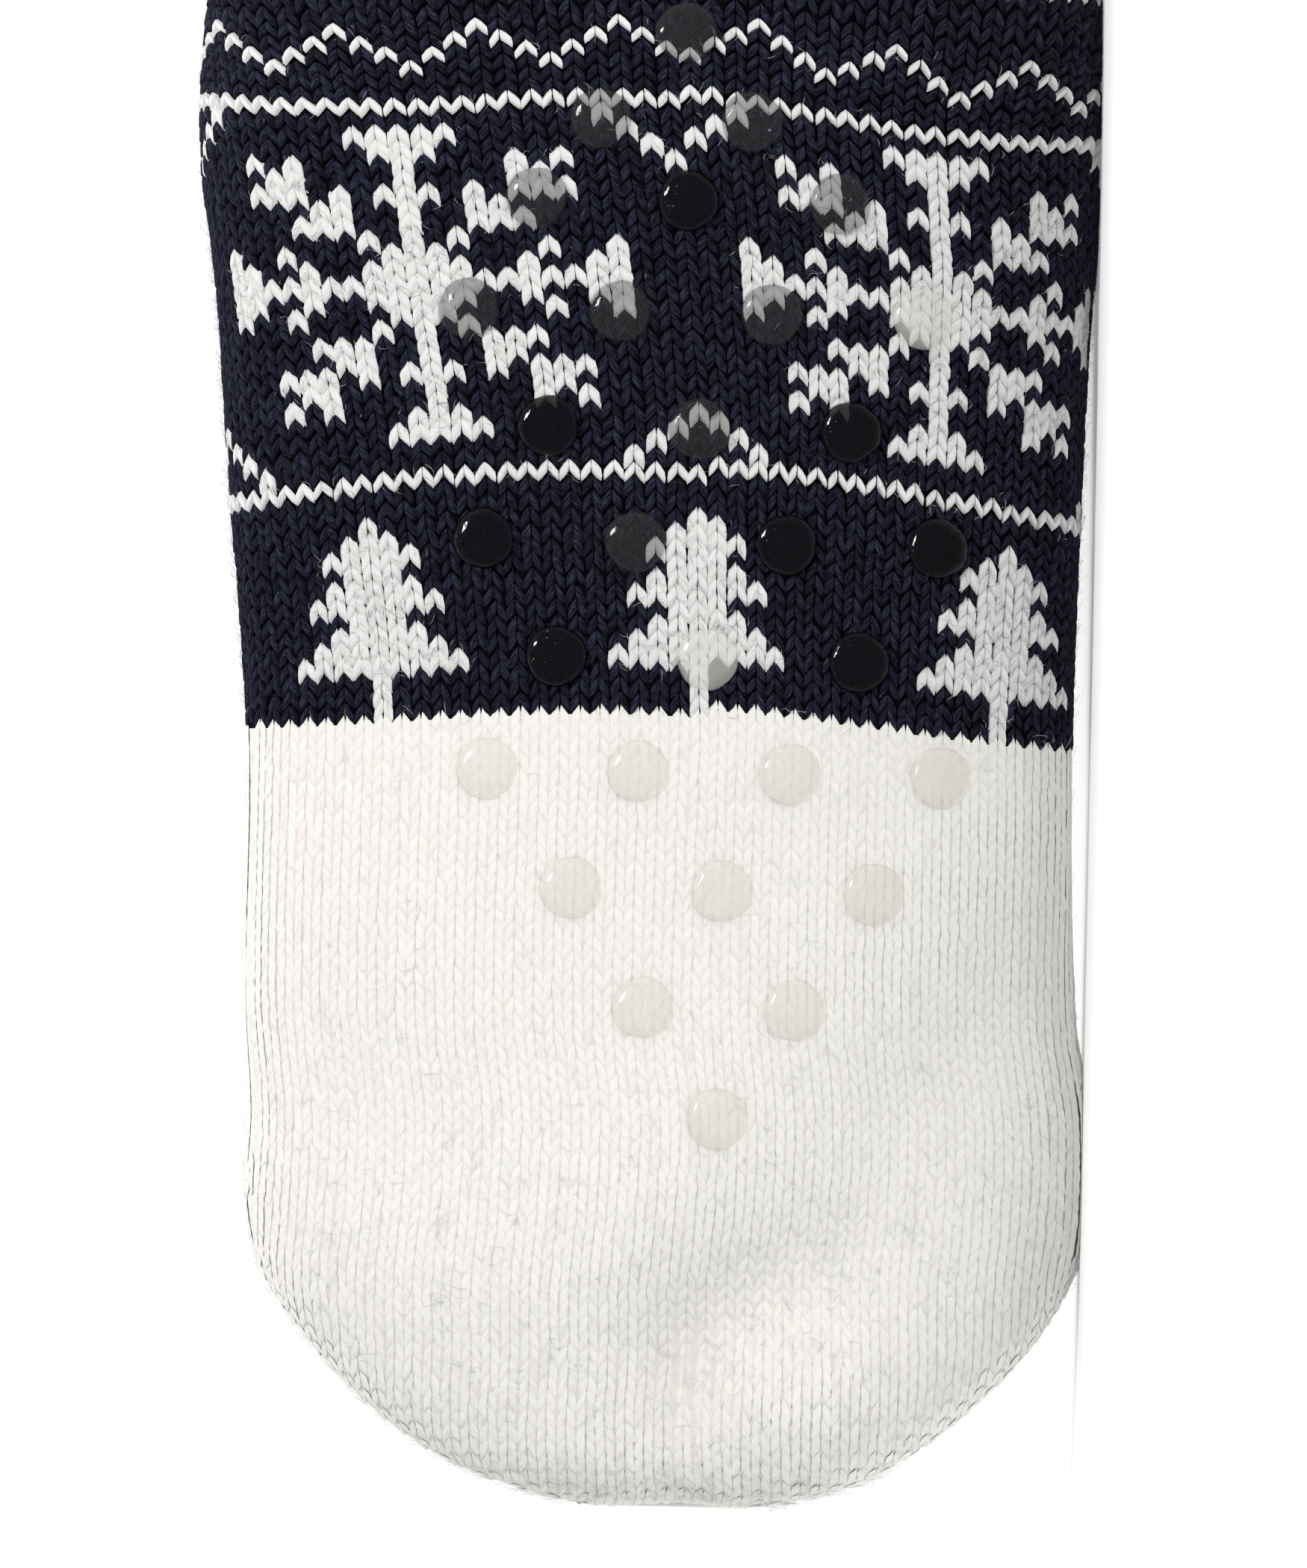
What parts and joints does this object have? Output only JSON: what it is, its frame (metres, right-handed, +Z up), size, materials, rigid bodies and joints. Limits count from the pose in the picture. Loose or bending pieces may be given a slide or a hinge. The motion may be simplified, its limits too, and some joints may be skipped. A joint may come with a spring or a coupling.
{
  "type": "slipper sock",
  "caption": "Knitted slipper sock with a plain toe, a patterned foot, a ribbed cuff and rows of grip dots under the sole, lying on its side.",
  "frame": {"origin": "centre of the bounding box on the floor plane that the sock's side lies on", "axes": "+X from the toe to the heel, +Y from the sole up the leg, +Z up from the floor, across the foot"},
  "size_m": [0.234, 0.1916, 0.1091],
  "materials": {
    "navy_wool": "soft stocking stitch knit in dark navy wool with natural white motifs, slightly fuzzy",
    "white_wool": "soft plump stocking stitch knit in natural white wool, slightly fuzzy",
    "clear_silicone": "clear glossy silicone domes"
  },
  "bodies": {
    "root": {"knitted_sock": "navy_wool", "grip_dot_01": "clear_silicone", "grip_dot_02": "clear_silicone", "grip_dot_03": "clear_silicone", "grip_dot_04": "clear_silicone", "grip_dot_05": "clear_silicone", "grip_dot_06": "clear_silicone", "grip_dot_07": "clear_silicone", "grip_dot_08": "clear_silicone", "grip_dot_09": "clear_silicone", "grip_dot_10": "clear_silicone", "grip_dot_11": "clear_silicone", "grip_dot_12": "clear_silicone", "grip_dot_13": "clear_silicone", "grip_dot_14": "clear_silicone", "grip_dot_15": "clear_silicone", "grip_dot_16": "clear_silicone", "grip_dot_17": "clear_silicone", "grip_dot_18": "clear_silicone", "grip_dot_19": "clear_silicone", "grip_dot_20": "clear_silicone", "grip_dot_21": "clear_silicone", "grip_dot_22": "clear_silicone", "grip_dot_23": "clear_silicone", "grip_dot_24": "clear_silicone", "grip_dot_25": "clear_silicone", "grip_dot_26": "clear_silicone", "grip_dot_27": "clear_silicone", "grip_dot_28": "clear_silicone", "grip_dot_29": "clear_silicone", "grip_dot_30": "clear_silicone"}
  },
  "joints": []
}
